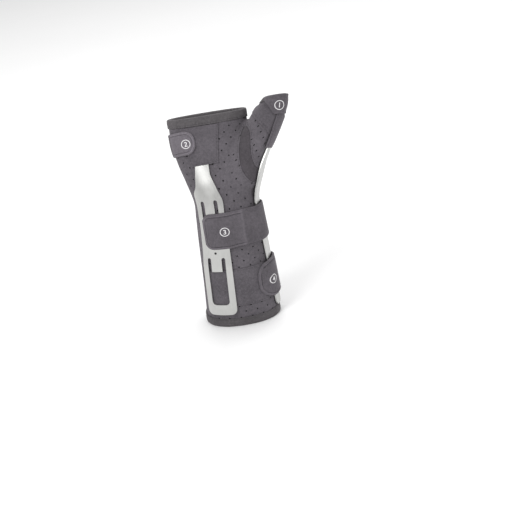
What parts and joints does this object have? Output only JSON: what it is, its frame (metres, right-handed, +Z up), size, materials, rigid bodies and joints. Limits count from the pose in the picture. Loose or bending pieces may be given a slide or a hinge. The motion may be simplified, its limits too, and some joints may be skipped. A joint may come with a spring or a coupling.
{
  "type": "thumb spica splint",
  "caption": "Right-hand wrist and thumb splint of perforated foam cloth with formed aluminium stays, numbered hook-and-loop straps and bound edges.",
  "frame": {"origin": "on the floor plane, under the middle of the whole splint's box", "axes": "+Z up the forearm towards the hand, -Y out of the palm side, +X towards the thumb"},
  "size_m": [0.1358, 0.0864, 0.2402],
  "materials": {
    "perforated_laminate": "matt brushed cloth over foam, perforated",
    "stretch_cloth": "smooth matt stretch cloth",
    "binding_tape": "matt knitted tape",
    "loop_cloth": "fine matt loop pile",
    "strap_laminate": "matt loop cloth over thin foam",
    "stay_metal": "satin, lightly brushed"
  },
  "bodies": {
    "root": {"sleeve": "perforated_laminate", "thenar_gusset": "stretch_cloth", "palm_binding": "binding_tape", "cuff_binding": "binding_tape", "thumb_binding": "binding_tape", "palm_patch": "loop_cloth", "forearm_patch": "loop_cloth", "thumb_band": "loop_cloth", "stay_pocket": "loop_cloth", "palm_stay": "stay_metal", "thumb_stay": "stay_metal", "thumb_strap": "strap_laminate", "hand_strap": "strap_laminate", "wrist_strap": "strap_laminate", "forearm_strap": "strap_laminate"}
  },
  "joints": []
}
